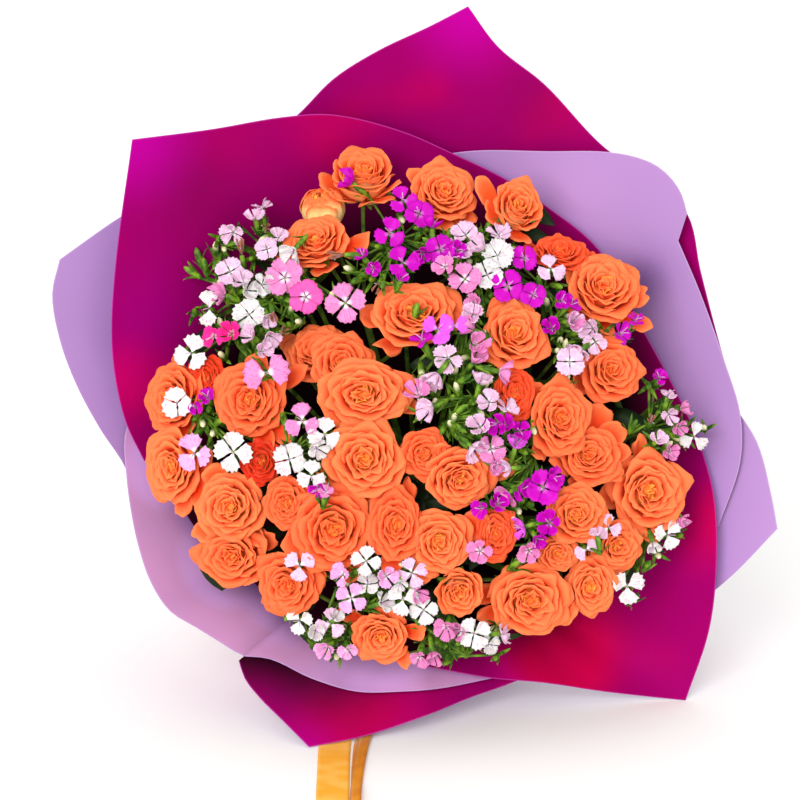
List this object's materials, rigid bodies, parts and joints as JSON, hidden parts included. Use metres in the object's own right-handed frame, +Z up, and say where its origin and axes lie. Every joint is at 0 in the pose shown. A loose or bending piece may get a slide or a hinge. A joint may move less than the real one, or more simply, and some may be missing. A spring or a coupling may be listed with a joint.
{
  "type": "garden rose bouquet",
  "caption": "Hand-tied bouquet of orange garden roses and sweet williams in magenta and lilac wrapping film with an amber ribbon, lying on its side.",
  "frame": {"origin": "middle of the bounding box, on the surface that the bouquet lies on", "axes": "+Z up; the flowers' face looks along -Y and a little up, and the stems run back along +Y; +X is to the right of whoever looks at the flowers"},
  "size_m": [0.503, 0.6092, 0.479],
  "materials": {
    "rose_petals": "soft matte petals",
    "sweet_william_petals": "soft matte petals, white through pink to magenta",
    "magenta_film": "matte film, magenta face inwards",
    "lilac_film": "matte film, lilac face inwards",
    "stem_green": "waxy green stems, leaves and the green tape that binds them",
    "ribbon_satin": "satin ribbon"
  },
  "bodies": {
    "root": {"rose_spray_01": "rose_petals", "rose_spray_02": "rose_petals", "rose_spray_03": "rose_petals", "rose_spray_04": "rose_petals", "rose_spray_05": "rose_petals", "rose_spray_06": "rose_petals", "rose_spray_07": "rose_petals", "rose_spray_08": "rose_petals", "rose_spray_09": "rose_petals", "rose_spray_10": "rose_petals", "rose_spray_11": "rose_petals", "rose_spray_12": "rose_petals", "sweet_william_stem_01": "sweet_william_petals", "sweet_william_stem_02": "sweet_william_petals", "sweet_william_stem_03": "sweet_william_petals", "sweet_william_stem_04": "sweet_william_petals", "sweet_william_stem_05": "sweet_william_petals", "sweet_william_stem_06": "sweet_william_petals", "sweet_william_stem_07": "sweet_william_petals", "sweet_william_stem_08": "sweet_william_petals", "sweet_william_stem_09": "sweet_william_petals", "sweet_william_stem_10": "sweet_william_petals", "sweet_william_stem_11": "sweet_william_petals", "sweet_william_stem_12": "sweet_william_petals", "sweet_william_stem_13": "sweet_william_petals", "sweet_william_stem_14": "sweet_william_petals", "sweet_william_stem_15": "sweet_william_petals", "sweet_william_stem_16": "sweet_william_petals", "sweet_william_stem_17": "sweet_william_petals", "sweet_william_stem_18": "sweet_william_petals", "sweet_william_stem_19": "sweet_william_petals", "inner_sheet": "magenta_film", "front_inner_sheet": "magenta_film", "back_sheet": "magenta_film", "bottom_tip_sheet": "magenta_film", "front_bottom_sheet": "lilac_film", "right_sheet": "lilac_film", "front_left_sheet": "lilac_film", "right_corner_sheet": "lilac_film", "left_sheet": "lilac_film", "stem_tie": "stem_green", "ribbon_band": "ribbon_satin", "ribbon_knot": "ribbon_satin", "ribbon_loop_left": "ribbon_satin", "ribbon_loop_right": "ribbon_satin", "ribbon_tail_left": "ribbon_satin", "ribbon_tail_right": "ribbon_satin"}
  },
  "joints": []
}
